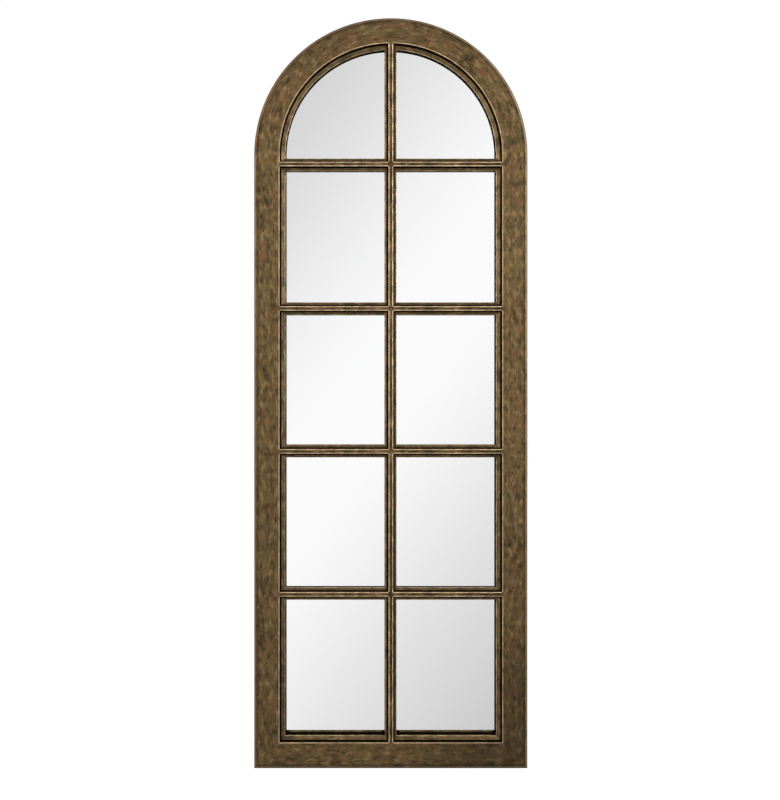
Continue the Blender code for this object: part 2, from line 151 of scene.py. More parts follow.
for name, place, watts in softboxes:
    softbox_data = bpy.data.lights.new(name, "AREA")
    softbox_data.shape = "RECTANGLE"
    softbox_data.size, softbox_data.size_y = softbox_size
    softbox_data.energy = watts
    softbox = add_to_scene(name, softbox_data)
    softbox.location = place
    across, along, up = np.subtract(softbox_aim, place)
    tilt = np.arctan2(np.hypot(across, along), -up)
    softbox.rotation_euler = (tilt, 0, np.arctan2(-across, along))

metres_per_pixel = (model_high.z - model_low.z) / (foot_pixel - top_pixel)
camera_data = bpy.data.cameras.new("camera")
camera_data.sensor_width = sensor
camera_data.lens = eye_distance / metres_per_pixel / max(photo_size) * sensor
camera_data.shift_x = (photo_size[0] / 2 - eye_pixel[0]) / max(photo_size)
camera_data.shift_y = (eye_pixel[1] - photo_size[1] / 2) / max(photo_size)
camera = add_to_scene("camera", camera_data)
camera.rotation_euler = camera_turn
camera.location = (
    (eye_pixel[0] - middle_pixel) * metres_per_pixel,
    model_low.y - eye_distance,
    (foot_pixel - eye_pixel[1]) * metres_per_pixel,
)
bpy.context.scene.camera = camera
bpy.context.scene.view_settings.view_transform = "Standard"


# The frame's five timbers and their dowels are softwood and beech: stiles and foot rail
# with the grain along them, the two head quadrants sawn on the slant from wide planks.
# Glued and dowelled, they carry everything else, and show only at the back.
pine_pale = (0.56, 0.37, 0.19, 1)
pine_deep = (0.36, 0.19, 0.075, 1)
beech_pale = (0.55, 0.36, 0.22, 1)
beech_deep = (0.42, 0.25, 0.14, 1)
heart_offset = (0.11, 0.13, 0)
ring_spacing = 0.0042
beech_spacing = ring_spacing / 3
waver_reach = 0.020
waver_cells, pore_cells = (9, 9, 1.6), (1700, 1700, 60)
fibre_cells, cloud_cells = (700, 700, 18), (26, 26, 4)
late_rise, late_fall = (0.25, 0.93), (1.0, 0.95)
late_weight, fibre_weight, cloud_weight, tone_ground = 0.62, 0.34, 0.25, 0.16
pore_colour = (0.12, 0.06, 0.025, 1)
pore_share, pore_weight = (0.60, 0.72), 0.45
wood_rough = (0.72, 0.58)
late_relief, fibre_relief = 0.4, 0.6
wood_relief, wood_bump = 0.0002, 0.6


def new_group(name, inputs, outputs):
    """A shader node group. Inputs are (name, kind, value); outputs are (name, kind)."""
    group = bpy.data.node_groups.new(name, "ShaderNodeTree")
    for label, kind, value in inputs:
        socket = group.interface.new_socket(label, in_out="INPUT", socket_type="NodeSocket" + kind)
        socket.default_value = value
    for label, kind in outputs:
        group.interface.new_socket(label, in_out="OUTPUT", socket_type="NodeSocket" + kind)
    enter = group.nodes.new("NodeGroupInput")
    leave = group.nodes.new("NodeGroupOutput")
    return group, enter.outputs, leave.inputs


def use_group(tree, group, inputs):
    """The outputs of a node group placed in a tree with its own values."""
    return add_node(tree, "Group", inputs, node_tree=group).outputs


def calculate(tree, operation, first, second=0.0, third=0.0, clamp=False):
    """The result of a Math node; MULTIPLY_ADD is first times second plus third."""
    inputs = {0: first, 1: second, 2: third}
    return add_node(tree, "Math", inputs, operation=operation, use_clamp=clamp).outputs[0]


def ease(tree, value, start, end, low=0.0, high=1.0):
    """A smooth step: low where value is at start, high where it is at end."""
    inputs = {"Value": value, "From Min": start, "From Max": end, "To Min": low, "To Max": high}
    return add_node(tree, "MapRange", inputs, interpolation_type="SMOOTHSTEP").outputs["Result"]


def mix_colours(tree, share, first, second):
    """The first colour where share is zero, and the second where it is one."""
    inputs = {0: share, 6: first, 7: second}
    return add_node(tree, "Mix", inputs, data_type="RGBA").outputs[2]


def grain_noise(tree, place, cells, detail=3.0, roughness=0.5):
    """Noise with so many cells a metre along each of the three axes."""
    scaled = add_node(tree, "VectorMath", {0: place, 1: cells}, operation="MULTIPLY").outputs[0]
    inputs = {"Vector": scaled, "Scale": 1.0, "Detail": detail, "Roughness": roughness}
    return add_node(tree, "TexNoise", inputs).outputs["Fac"]


def raise_grain(tree, shader, height, depth, strength):
    """Let a height from 0 to 1 stand out of the surface by up to depth metres."""
    bump = add_node(tree, "Bump", {"Height": height, "Distance": depth, "Strength": strength})
    tree.links.new(bump.outputs[0], shader.inputs["Normal"])


def weigh(tree, *weighed, start=0.0):
    """The sum of start and of each value times its weight."""
    for value, weight in weighed:
        start = calculate(tree, "MULTIPLY_ADD", value, weight, start)
    return start


def paint(tree, shader, colour, rough):
    """Wire a colour and a roughness into a finish."""
    tree.links.new(colour, shader.inputs["Base Color"])
    tree.links.new(rough, shader.inputs["Roughness"])


# Sawn wood: growth rings round a heart beside the piece, wavering along the grain,
# with pores as short dark lines. The grain runs along the third axis.
wood, wood_in, wood_out = new_group(
    "Sawn wood",
    (
        ("Place", "Vector", (0, 0, 0)),
        ("Heart", "Vector", heart_offset),
        ("Spacing", "Float", ring_spacing),
        ("Pale", "Color", pine_pale),
        ("Deep", "Color", pine_deep),
    ),
    (("Color", "Color"), ("Rough", "Float"), ("Height", "Float")),
)
from_heart = {0: wood_in["Place"], 1: wood_in["Heart"]}
off_heart = add_node(wood, "VectorMath", from_heart, operation="SUBTRACT").outputs[0]
level = add_node(wood, "VectorMath", {0: off_heart, 1: (1, 1, 0)}, operation="MULTIPLY").outputs[0]
radius = add_node(wood, "VectorMath", {0: level}, operation="LENGTH").outputs["Value"]
waver = grain_noise(wood, wood_in["Place"], waver_cells)
wavered = calculate(wood, "MULTIPLY_ADD", waver, waver_reach, radius)
ring_share = calculate(wood, "FRACT", calculate(wood, "DIVIDE", wavered, wood_in["Spacing"]))
late, late_end = ease(wood, ring_share, *late_rise), ease(wood, ring_share, *late_fall)
late_wood = calculate(wood, "MULTIPLY", late, late_end)
pores = ease(wood, grain_noise(wood, wood_in["Place"], pore_cells, 2.0), *pore_share)
fibres = grain_noise(wood, wood_in["Place"], fibre_cells)
clouds = grain_noise(wood, wood_in["Place"], cloud_cells, 2.0)
deepness = weigh(wood, (fibres, fibre_weight), (late_wood, late_weight), (clouds, cloud_weight))
deepness = calculate(wood, "SUBTRACT", deepness, tone_ground, clamp=True)
wood_colour = mix_colours(wood, deepness, wood_in["Pale"], wood_in["Deep"])
pored = mix_colours(wood, calculate(wood, "MULTIPLY", pores, pore_weight), wood_colour, pore_colour)
wood.links.new(pored, wood_out["Color"])
wood.links.new(ease(wood, deepness, 0.0, 1.0, *wood_rough), wood_out["Rough"])
raised = weigh(wood, (fibres, fibre_relief), (late_wood, late_relief))
wood.links.new(calculate(wood, "SUBTRACT", raised, pores), wood_out["Height"])


def wood_finish(name, turn=(0, 0, 0), pale=pine_pale, deep=pine_deep, spacing=ring_spacing):
    """Wood whose grain lies along the axis that turn brings onto the third one."""
    finish, tree, shader = new_finish(name)
    place = add_node(tree, "TexCoord").outputs["Object"]
    turned = add_node(tree, "Mapping", {"Vector": place, "Rotation": turn}, vector_type="TEXTURE")
    values = {"Place": turned.outputs[0], "Spacing": spacing, "Pale": pale, "Deep": deep}
    sawn = use_group(tree, wood, values)
    paint(tree, shader, sawn["Color"], sawn["Rough"])
    raise_grain(tree, shader, sawn["Height"], wood_relief, wood_bump)
    return finish


def dress(name, finish):
    """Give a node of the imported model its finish."""
    nodes[name].material_slots[0].material = finish


upright_pine = wood_finish("pine_upright")
level_pine = wood_finish("pine_level", turn=(0, pi / 2, 0))
beech = wood_finish("beech_dowel", pale=beech_pale, deep=beech_deep, spacing=beech_spacing)
dress("bottom_rail_core", level_pine)
for hand, lean in (("left", pi / 4), ("right", -pi / 4)):
    dress(hand + "_stile_core", upright_pine)
    slant_pine = wood_finish(f"pine_{hand}_quadrant", turn=(0, lean, 0))
    dress(hand + "_arch_core", slant_pine)
for name in nodes:
    if "dowel" in name:
        dress(name, beech)


# The brass skin is 1.2 mm sheet folded round the timber: inner wall, eased arris, flat
# face, outer arris, outer wall and a return over the back. Soldered at the springing
# and the mitres, dressed smooth, darkened in liver of sulphur and rubbed back by hand.
stile_low, stile_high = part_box("right_stile_casing")
rail_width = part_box("bottom_rail_casing")[1].z
spring_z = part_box("arch_casing")[0].z
inner_half, half_width = stile_low.x, stile_high.x
face_y = stile_low.y
frame_depth = stile_high.y - face_y
face_width = half_width - inner_half
cross_bars = [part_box(f"cross_bar_{number}") for number in range(1, 5)]
bar_centres = [(low.z + high.z) / 2 for low, high in cross_bars]
bar_half = (cross_bars[0][1].z - cross_bars[0][0].z) / 2
bar_depth = cross_bars[0][1].y - face_y
sheet = 0.0012
inner_arris = 0.0025
outer_arris = 0.0055
back_bend = 0.0016
back_return = 0.010
sharp_arris = 0.0001
mitre_hairline = 0.00006
mitre_reach = 0.045
band_radius = inner_half + face_width / 2
arc_steps, wall_steps, face_steps, outer_steps, return_steps = 8, 4, 22, 6, 3
station_step = 0.006
crossing_step = 0.0008
crossing_reach = 0.006
crease = radians(24)

# The worn line lies this far in from the inner arris. Grime and painted shade at the
# opening count as so deep, and are gone half that far from it. The outer arris is rubbed
# bare, and a dark ragged margin beside it is painted on the face, partly patina and partly
# painted shade.
line_back = 0.0005
grime_shade_creep = 0.0026
margin_width = 0.0045
margin_fade = 0.0110
margin_ragged = 0.0030
margin_cells = (120, 70, 1)
margin_shade = 0.45
arris_bare = 0.0010
arris_round = outer_arris * pi / 2
arris_thin, arris_thinnest = (0.30, 0.52), 0.45
arris_cells = (90, 26, 1)
# How much darker the face is painted towards the foot's right corner, as painted shade.
corner_shade = 0.42
rub_cells, rub_ragged, rub_soft = (260, 90, 1), (1.2, 0.4), 0.55
gap_cells, gap_share = (30, 34, 1), (0.62, 0.40)
drift_cells, grime_shade_drift = (60, 40, 1), (0.9, 0.55)
hue_cells, hue_share = (8, 14, 1), (0.40, 0.60)
brass_rough = (0.58, 0.44)
rub_polish, grime_shade_rough = -0.12, 0.35
brass_metal = 0.9
brushed_cells = (1900, 60, 1)
tone_relief, brushed_relief = 0.5, 0.5
brass_relief, brass_bump = 0.00006, 0.5


def shade(red, green, blue):
    """A colour from display values of 0 to 255, as the linear light of a shader."""
    display = np.array((red, green, blue)) / 255
    linear = np.where(display > 0.04045, ((display + 0.055) / 1.055) ** 2.4, display / 12.92)
    return (*linear.tolist(), 1)


brass_brown = shade(115, 91, 59)
brass_dark = shade(58, 49, 31)
brass_pale = shade(148, 124, 88)
brass_olive = shade(104, 93, 58)
brass_red = shade(118, 84, 58)
brass_green = shade(72, 69, 45)
brass_gold = shade(140, 104, 54)
brass_maroon = shade(86, 58, 44)
brass_black = shade(42, 35, 21)
rubbed_gold = shade(240, 214, 166)
rubbed_pink = shade(230, 190, 160)
# The bare outer arris: paler olive on the right stile and the rail, turning redder and darker round
# the arch to the left stile, painted light from the right over the wear.
edge_red_shaded = shade(140, 102, 72)
edge_olive_lit = shade(156, 140, 112)
# Black for grime, and for the painted shade in quirks, on inner walls and on the bead lips.
grime_and_shade_black = shade(16, 12, 7)


def run_between(start, end, steps):
    """Straight run of points, the last one left to what follows."""
    return start + (end - start) * np.arange(steps) / steps


def quarter_turn():
    """Even angles from zero towards a right angle, which is left to what follows."""
    return run_between(0, pi / 2, arc_steps)


def stack_up(*parts):
    """Arrays stretched to one shape and set side by side along a new last axis."""
    return np.stack(np.broadcast_arrays(*parts), -1)


def spread(*runs):
    """Runs of section points side by side, each a row for every station."""
    rows = max(run.shape[0] for run in map(np.atleast_2d, runs))
    return np.hstack([np.broadcast_to(run, (rows, np.shape(run)[-1])) for run in runs])


def stations(start, end, crossings=()):
    """Even stations from start to end, closer together round each crossing."""
    count = int(round((end - start) / station_step)) + 1
    places = [np.linspace(start, end, count)]
    reach = bar_half + crossing_reach
    for centre in crossings:
        near = np.arange(-reach, reach, crossing_step) + centre
        places.append(near[(near > start + crossing_step) & (near < end - crossing_step)])
    places = np.unique(np.round(np.concatenate(places), 6))
    return places[np.insert(np.diff(places) > crossing_step / 4, 0, True)]


def inside_crossing(places, crossings):
    """How far each station lies inside the width of a bar that joins there, else zero."""
    inset = np.zeros_like(places)
    for centre in crossings:
        inset = np.maximum(inset, bar_half - np.abs(places - centre))
    return inset


def smooth(share):
    """From zero to one with a level start and end, as three squares less two cubes."""
    share = np.clip(share, 0, 1)
    return share * share * (3 - 2 * share)


def eased_arris(radius, inset):
    """An arris that dies away to a sharp corner where a bar joins flush."""
    return (radius + (sharp_arris - radius) * smooth(inset / radius))[:, None]


def casing_section(width, arris):
    """Across and depth of the folded sheet, a row for each station's arris radius.

    Straight runs between quarter circles: up the inner wall, round the inner arris,
    over the face, round the outer arris, down the outer wall and round to the return,
    then back along the sheet's other side. The last point repeats the first.
    """
    turn = quarter_turn()
    edge, inside, underside = width - back_return, width - sheet, frame_depth - sheet
    face_end, bend = width - outer_arris, frame_depth - back_bend
    across = spread(
        np.zeros(wall_steps),
        arris * (1 - np.cos(turn)),
        run_between(arris, face_end, face_steps),
        face_end + outer_arris * np.sin(turn),
        np.full(outer_steps, width),
        width - back_bend + back_bend * np.cos(turn),
        run_between(width - back_bend, edge, return_steps),
        np.array((edge, edge, inside, inside, sheet, sheet, 0)),
    )
    depth = spread(
        run_between(np.array([[bar_depth]]), arris, wall_steps),
        arris * (1 - np.sin(turn)),
        np.zeros(face_steps),
        outer_arris - outer_arris * np.cos(turn),
        run_between(outer_arris, bend, outer_steps),
        bend + back_bend * np.sin(turn),
        np.full(return_steps, frame_depth),
        np.array((frame_depth, underside, underside, sheet, sheet, bar_depth, bar_depth)),
    )
    return across, depth


def developed(across, depth):
    """Metres round the section at each of its points."""
    return np.append(0, np.cumsum(np.hypot(np.diff(across), np.diff(depth))))


def casing_marks(width, across, depth, inset):
    """Metres to the worn line beside the opening, metres in from where the outer arris
    starts, and how far a point lies sunk in the opening."""
    round_section = developed(*(run[np.argmin(inset)] for run in (across, depth)))
    face_start = bar_depth - inner_arris + inner_arris * pi / 2
    face_end = face_start + width - inner_arris - outer_arris
    to_line = np.hypot(round_section - face_start - line_back, inset[:, None])
    edge_in = face_end - round_section + np.zeros_like(to_line)
    # The inner wall and the edge of the arris are marked sunk, and so painted dark as painted
    # shade.
    sunk = np.where(across < inner_arris, np.maximum(grime_shade_creep - 2 * across, depth), 0)
    sunk = np.where(inset[:, None] > 0, np.where(across < inner_arris / 2, depth, 0), sunk)
    return round_section, {"wear_and_highlight_line": to_line, "edge_in": edge_in, "sunk": sunk}


def lay_skin(name, points, run, marks, finish, ring=False):
    """Put a grid of points into a mesh.

    Row i is one station along a member, and column j one point round its section.
    Corner (i, j) joins (i, j + 1), (i + 1, j + 1) and (i + 1, j). The last column
    repeats the first, and on a ring the last row does too; else both ends are capped.
    run has the metres across and along at each corner, for the UV map, and marks has
    one number a corner for each named attribute.
    """
    rows, columns = points.shape[0] - ring, points.shape[1] - 1
    i, j = np.mgrid[0:points.shape[0] - 1, 0:columns]
    row = np.stack((i, i, i + 1, i + 1), -1).reshape(-1, 4)
    column = np.stack((j, j + 1, j + 1, j), -1).reshape(-1, 4)
    quads = row % rows * columns + column % columns
    vertices = points[:rows, :columns].reshape(-1, 3)
    faces, corner_run = quads.tolist(), run[row, column].reshape(-1, 2)
    if not ring:
        faces.append(list(range(columns))[::-1])
        faces.append(list(range((rows - 1) * columns, rows * columns)))
        corner_run = np.vstack((corner_run, run[0, :columns][::-1], run[-1, :columns]))
    a, b, c, d = (vertices[quads[:, corner]] for corner in range(4))
    if np.sum(a * np.cross(b, c)) + np.sum(a * np.cross(c, d)) < 0:
        sizes = np.cumsum([len(face) for face in faces])[:-1]
        corner_run = np.vstack([part[::-1] for part in np.split(corner_run, sizes)])
        faces = [face[::-1] for face in faces]
    mesh = bpy.data.meshes.new(name)
    mesh.from_pydata(vertices.tolist(), [], faces)
    mesh.uv_layers.new(name="run").data.foreach_set("uv", corner_run.ravel())
    for key, values in marks.items():
        spot = mesh.attributes.new(key, "FLOAT", "POINT")
        spot.data.foreach_set("value", values[:rows, :columns].ravel())
    mesh.materials.append(finish)
    mesh.shade_smooth()
    mesh.set_sharp_from_angle(angle=crease)
    return add_to_scene(name, mesh)


# Mottled patina: four layers of tone, from clouds to specks, under soft-edged patches in
# the order they are laid down, all a little longer along the member than across it.
# A layer says its cells, detail, roughness and weight.
tone_layers = (
    ((14, 6), 3.0, 0.55, 0.26),
    ((60, 34), 3.0, 0.50, 0.46),
    ((230, 60), 3.0, 0.55, 0.18),
    ((520, 260), 2.0, 0.50, 0.10),
)
tone_share = (0.36, 0.62)

# A patch says its colour, cells and place in the noise, the noise where it starts and
# where it is full, and how much it covers.
patches = (
    (brass_olive, (34, 12), (3.1, 7.7), 0.46, 0.62, 0.45),
    (brass_red, (52, 18), (9.4, 2.9), 0.50, 0.68, 0.50),
    (brass_green, (50, 18), (1.7, 5.2), 0.52, 0.72, 0.45),
    (brass_pale, (96, 36), (4.6, 1.3), 0.50, 0.70, 0.60),
    (brass_gold, (104, 40), (6.3, 8.1), 0.56, 0.74, 0.50),
    (brass_maroon, (110, 48), (2.2, 4.4), 0.56, 0.72, 0.60),
    (brass_black, (104, 34), (7.9, 6.6), 0.54, 0.74, 0.65),
)
patina, patina_in, patina_out = new_group(
    "Mottled patina",
    (
        ("Place", "Vector", (0, 0, 0)),
        ("Brown", "Color", brass_brown),
        ("Dark", "Color", brass_dark),
    ),
    (("Color", "Color"), ("Tone", "Float")),
)
tone = 0.0
for cells, detail, roughness, weight in tone_layers:
    layer = grain_noise(patina, patina_in["Place"], (*cells, 1), detail, roughness)
    tone = calculate(patina, "MULTIPLY_ADD", layer, weight, tone)
lightness = ease(patina, tone, *tone_share)
ground = mix_colours(patina, lightness, patina_in["Dark"], patina_in["Brown"])
for colour, cells, offset, start, full, most in patches:
    moved = {0: patina_in["Place"], 1: (*offset, 0)}
    moved = add_node(patina, "VectorMath", moved, operation="ADD").outputs[0]
    patch = ease(patina, grain_noise(patina, moved, (*cells, 1)), start, full, 0.0, most)
    ground = mix_colours(patina, patch, ground, colour)
patina.links.new(ground, patina_out["Color"])
patina.links.new(lightness, patina_out["Tone"])

# Rubbed edge: bare metal within a width of a worn line, ragged and broken in places.
rubbed, rubbed_in, rubbed_out = new_group(
    "Rubbed edge",
    (
        ("Place", "Vector", (0, 0, 0)),
        ("Distance", "Float", 0),
        ("Width", "Float", 0.002),
        ("Broken", "Float", 0.5),
    ),
    (("Mask", "Float"),),
)
ragged = grain_noise(rubbed, rubbed_in["Place"], rub_cells)
ragged = calculate(rubbed, "MULTIPLY_ADD", ragged, *rub_ragged)
reach = calculate(rubbed, "MULTIPLY", rubbed_in["Width"], ragged)
near = calculate(rubbed, "DIVIDE", rubbed_in["Distance"], reach)
near = ease(rubbed, calculate(rubbed, "SUBTRACT", 1.0, near), 0.0, rub_soft)
gaps = ease(rubbed, grain_noise(rubbed, rubbed_in["Place"], gap_cells), *gap_share)
gaps = calculate(rubbed, "MULTIPLY", gaps, rubbed_in["Broken"])
whole = calculate(rubbed, "SUBTRACT", 1.0, gaps)
rubbed.links.new(calculate(rubbed, "MULTIPLY", near, whole), rubbed_out["Mask"])

# Settled dirt and painted shade: black dust and old polish, with painted shade in the
# quirks, on the walls and under the lips, thicker the deeper a surface lies sunk.
grime_and_shade, grime_shade_in, grime_shade_out = new_group(
    "Settled dirt and painted shade",
    (
        ("Place", "Vector", (0, 0, 0)),
        ("Sunk", "Float", 0),
        ("Start", "Float", 0.0003),
        ("Full", "Float", 0.0028),
    ),
    (("Mask", "Float"),),
)
drift = grain_noise(grime_and_shade, grime_shade_in["Place"], drift_cells)
drift = calculate(grime_and_shade, "MULTIPLY_ADD", drift, *grime_shade_drift)
deep = calculate(grime_and_shade, "MULTIPLY", grime_shade_in["Sunk"], drift)
settled_and_shaded = ease(grime_and_shade, deep, grime_shade_in["Start"], grime_shade_in["Full"])
grime_and_shade.links.new(settled_and_shaded, grime_shade_out["Mask"])


def read_mark(tree, name):
    """What a named attribute of the mesh says at each point."""
    return add_node(tree, "Attribute", attribute_name=name).outputs["Fac"]


def shade_and_rub_edge(tree, place, colour, worn_edge, shade_from, shade_to):
    """The face painted darker towards the foot's right corner as painted shade, darkest at
    the first of the two given places along the member and gone at the second, with its dark
    margin, partly painted shade, and the rubbed outer arris beside it, paler on the right
    stile as painted light."""
    along = add_node(tree, "SeparateXYZ", {0: place}).outputs["Y"]
    corner_shaded = ease(tree, along, shade_to, shade_from, 0.0, corner_shade)
    colour = mix_colours(tree, corner_shaded, colour, brass_black)
    ragged = calculate(tree, "SUBTRACT", grain_noise(tree, place, margin_cells), 0.5)
    edge_in = calculate(tree, "MULTIPLY_ADD", ragged, margin_ragged, read_mark(tree, "edge_in"))
    # A dark ragged margin inside the outer arris: partly patina, partly painted shade.
    shaded_margin = ease(tree, edge_in, margin_fade, margin_width, 0.0, margin_shade)
    colour = mix_colours(tree, shaded_margin, colour, brass_black)
    # Paler on the right, redder and darker on the left: painted light from the right.
    turned = ease(tree, along, spring_z, spring_z + pi * band_radius)
    edge_colour = mix_colours(tree, turned, edge_olive_lit, edge_red_shaded)
    bare = ease(tree, edge_in, arris_bare, 0.0, 0.0, worn_edge)
    past_arris = ease(tree, edge_in, -arris_round - margin_ragged, -arris_round)
    bare = calculate(tree, "MULTIPLY", bare, past_arris)
    thin = grain_noise(tree, place, arris_cells, 4.0, 0.6)
    thin = ease(tree, thin, *arris_thin, arris_thinnest, 1.0)
    return mix_colours(tree, calculate(tree, "MULTIPLY", bare, thin), colour, edge_colour)


def brass_finish(name, seed, line, tones=(brass_brown, brass_dark), edge=None):
    """Aged brass, read along the member from the UV map and the piece's marks.

    The patina comes first, in its two main tones, then what edge says of the painted
    corner shade, the margin and the outer arris, if anything, then the rubbed line beside
    the opening, of the width and with the share of gaps that line gives, and which on the
    foot's bead wall is a painted highlight, and black over all of them for grime and for
    painted shade in the hollows.
    """
    width, broken = line
    brown, dark = tones
    finish, tree, shader = new_finish(name, metallic=brass_metal)
    run = add_node(tree, "UVMap", uv_map="run").outputs["UV"]
    place = add_node(tree, "VectorMath", {0: run, 1: (0, 0, seed)}, operation="ADD").outputs[0]
    mottled = use_group(tree, patina, {"Place": place, "Brown": brown, "Dark": dark})
    colour = mottled["Color"]
    if edge:
        colour = shade_and_rub_edge(tree, place, colour, **edge)
    # Along the foot the bead's wall lies on the line, and takes the rubbed colour as a painted
    # highlight.
    wear_and_highlight = {"Distance": read_mark(tree, "wear_and_highlight_line"), "Width": width, "Broken": broken}
    rub_and_highlight = use_group(tree, rubbed, {"Place": place, **wear_and_highlight})["Mask"]
    hue = ease(tree, grain_noise(tree, place, hue_cells), *hue_share)
    colour = mix_colours(tree, rub_and_highlight, colour, mix_colours(tree, hue, rubbed_gold, rubbed_pink))
    # Black over grime and over the painted shade in quirks, on walls and lips.
    dirt_and_shade = use_group(tree, grime_and_shade, {"Place": place, "Sunk": read_mark(tree, "sunk")})["Mask"]
    colour = mix_colours(tree, dirt_and_shade, colour, grime_and_shade_black)
    dull = ease(tree, mottled["Tone"], 0.0, 1.0, *brass_rough)
    dull = weigh(tree, (rub_and_highlight, rub_polish), (dirt_and_shade, grime_shade_rough), start=dull)
    paint(tree, shader, colour, dull)
    brushed = grain_noise(tree, place, brushed_cells, 2.0)
    height = weigh(tree, (mottled["Tone"], tone_relief), (brushed, brushed_relief))
    raise_grain(tree, shader, height, brass_relief, brass_bump)
    return finish


frame_seed, rail_seed = 0.0, 20.0
frame_line = (0.0015, 0.35)
# The face is painted darker, as painted shade, towards the foot of the right stile and the right
# end of the rail.
frame_edge = {"worn_edge": 0.75, "shade_from": 0.15, "shade_to": 0.45}
rail_edge = {"worn_edge": 0.30, "shade_from": 0.20, "shade_to": 0.0}
frame_brass = brass_finish("frame_brass", frame_seed, frame_line, edge=frame_edge)
rail_brass = brass_finish("rail_brass", rail_seed, frame_line, edge=rail_edge)


def casing_grid(width, places, crossings):
    """Across, depth, metres round and marks of a casing's section at every station."""
    inset = inside_crossing(places, crossings)
    across, depth = casing_section(width, eased_arris(inner_arris, inset))
    return across, depth, *casing_marks(width, across, depth, inset)


def at(x, depth, z):
    """Points so far behind the frame's front face."""
    return stack_up(x, face_y + depth, z)


for side, hand in ((-1, "left"), (1, "right")):
    levels = stations(0, spring_z, bar_centres)
    across, depth, round_section, marks = casing_grid(face_width, levels, bar_centres)
    foot = rail_width * (1 - across / face_width) + mitre_hairline
    mitre_top = rail_width + mitre_reach
    z = levels[:, None] + np.zeros_like(across)
    z = np.where(z < mitre_top, foot + (mitre_top - foot) * z / mitre_top, z)
    along = z if side > 0 else 2 * spring_z + pi * band_radius - z
    points = at(side * (inner_half + across), depth, z)
    run = stack_up(round_section, along)
    skin = lay_skin(f"{hand}_stile_brass", points, run, marks, frame_brass)
    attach(skin, "mirror")
    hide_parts(f"{hand}_stile_casing")

crown = inner_half * pi / 2
arc_places = stations(0, inner_half * pi, (crown,))
across, depth, round_section, marks = casing_grid(face_width, arc_places, (crown,))
angle = arc_places[:, None] / inner_half
radius = inner_half + across
points = at(radius * np.cos(angle), depth, spring_z + radius * np.sin(angle))
run = stack_up(round_section, spring_z + band_radius * angle)
skin = lay_skin("arch_brass", points, run, marks, frame_brass)
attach(skin, "mirror")
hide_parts("arch_casing")

level_places = stations(-half_width, half_width, (0,))
across, depth, round_section, marks = casing_grid(rail_width, level_places, (0,))
mitre = inner_half + face_width * across / rail_width - mitre_hairline
straight = inner_half - mitre_reach
x = level_places[:, None] + np.zeros_like(across)
beyond = (np.abs(x) - straight) / (half_width - straight)
x = np.where(beyond > 0, np.sign(x) * (straight + beyond * (mitre - straight)), x)
points = at(x, depth, rail_width - across)
skin = lay_skin("bottom_rail_brass", points, stack_up(round_section, x), marks, rail_brass)
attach(skin, "mirror")
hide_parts("bottom_rail_casing")


# The glazing bars are drawn brass, one upright and four cross bars, halved together and
# sweated so that all faces lie flush with the frame. Hands and cloths have worn both
# arrises of each bar bright, and left the middle dark.
bar_arris = 0.0020
lap_play = 0.00015
lap_nudge = 0.00002
bar_face_steps = 12
bar_seed = 40.0
bar_line = (0.0014, 0.50)
bar_tones = (shade(76, 62, 40), shade(42, 36, 24))
bar_brass = brass_finish("bar_brass", bar_seed, bar_line, bar_tones)
lap_half = bar_half + lap_play
lap_middle = bar_depth / 2
crown_z = spring_z + inner_half


def bar_section(arris):
    """Across and depth of a bar: wall, quarter arris, face, quarter arris, wall, back."""
    turn = quarter_turn()
    across = spread(
        np.full(wall_steps, -bar_half),
        arris * (1 - np.cos(turn)) - bar_half,
        run_between(arris - bar_half, bar_half - arris, bar_face_steps),
        bar_half - arris + arris * np.sin(turn),
        np.full(wall_steps + 1, bar_half),
        np.array((-bar_half,)),
    )
    depth = spread(
        run_between(np.array([[bar_depth]]), arris, wall_steps),
        arris * (1 - np.sin(turn)),
        np.zeros(bar_face_steps),
        arris - arris * np.cos(turn),
        run_between(arris, bar_depth, wall_steps),
        np.array((bar_depth, bar_depth)),
    )
    return across, depth


def bar_marks(across, depth, inset):
    """Metres to the nearer of the worn lines along both arrises, and how far a point
    lies sunk beside the bar, which paints the bar's walls black as painted shade."""
    round_section = developed(*(run[np.argmin(inset)] for run in (across, depth)))
    first = bar_depth - bar_arris + bar_arris * pi / 2
    second = first + 2 * (bar_half - bar_arris)
    to_line = np.minimum(np.abs(round_section - first), np.abs(round_section - second))
    to_line = np.hypot(to_line, inset[:, None])
    sunk = np.where(depth > bar_arris, depth, 0)
    return round_section, {"wear_and_highlight_line": to_line, "sunk": sunk}


def bar_stations(start, end, laps):
    """Stations with a pair of close ones at the walls of each halving."""
    walls = [centre + wall for centre in laps for wall in (-lap_half, lap_half)]
    pairs = [wall + nudge for wall in walls for nudge in (-lap_nudge, lap_nudge)]
    return np.unique(np.append(stations(start, end, laps), pairs))


def lay_bar(name, places, laps, keeps_front, placed):
    """A bar's section carried along its places. In each lap its front or its back half
    is cut away, by holding the section's depth to the middle of the bar."""
    inset = inside_crossing(places, laps)
    across, depth = bar_section(eased_arris(bar_arris, inset))
    round_section, marks = bar_marks(across, depth, inset)
    halved = np.min([np.abs(places - centre) for centre in laps], 0) < lap_half
    half = np.minimum(depth, lap_middle) if keeps_front else np.maximum(depth, lap_middle)
    depth = np.where(halved[:, None], half, depth)
    run = stack_up(round_section, places[:, None])
    bar = lay_skin(name + "_brass", placed(across, depth), run, marks, bar_brass)
    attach(bar, "mirror")
    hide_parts(name)


heights = bar_stations(rail_width, crown_z, bar_centres)


def upright_place(across, depth):
    """Straight up, and in the last stretch shortened to meet the round of the arch."""
    top = spring_z + np.sqrt(inner_half**2 - across**2)
    start = crown_z - mitre_reach
    z = heights[:, None] + np.zeros_like(across)
    z = np.where(z > start, start + (top - start) * (z - start) / (crown_z - start), z)
    return at(across, depth, z)


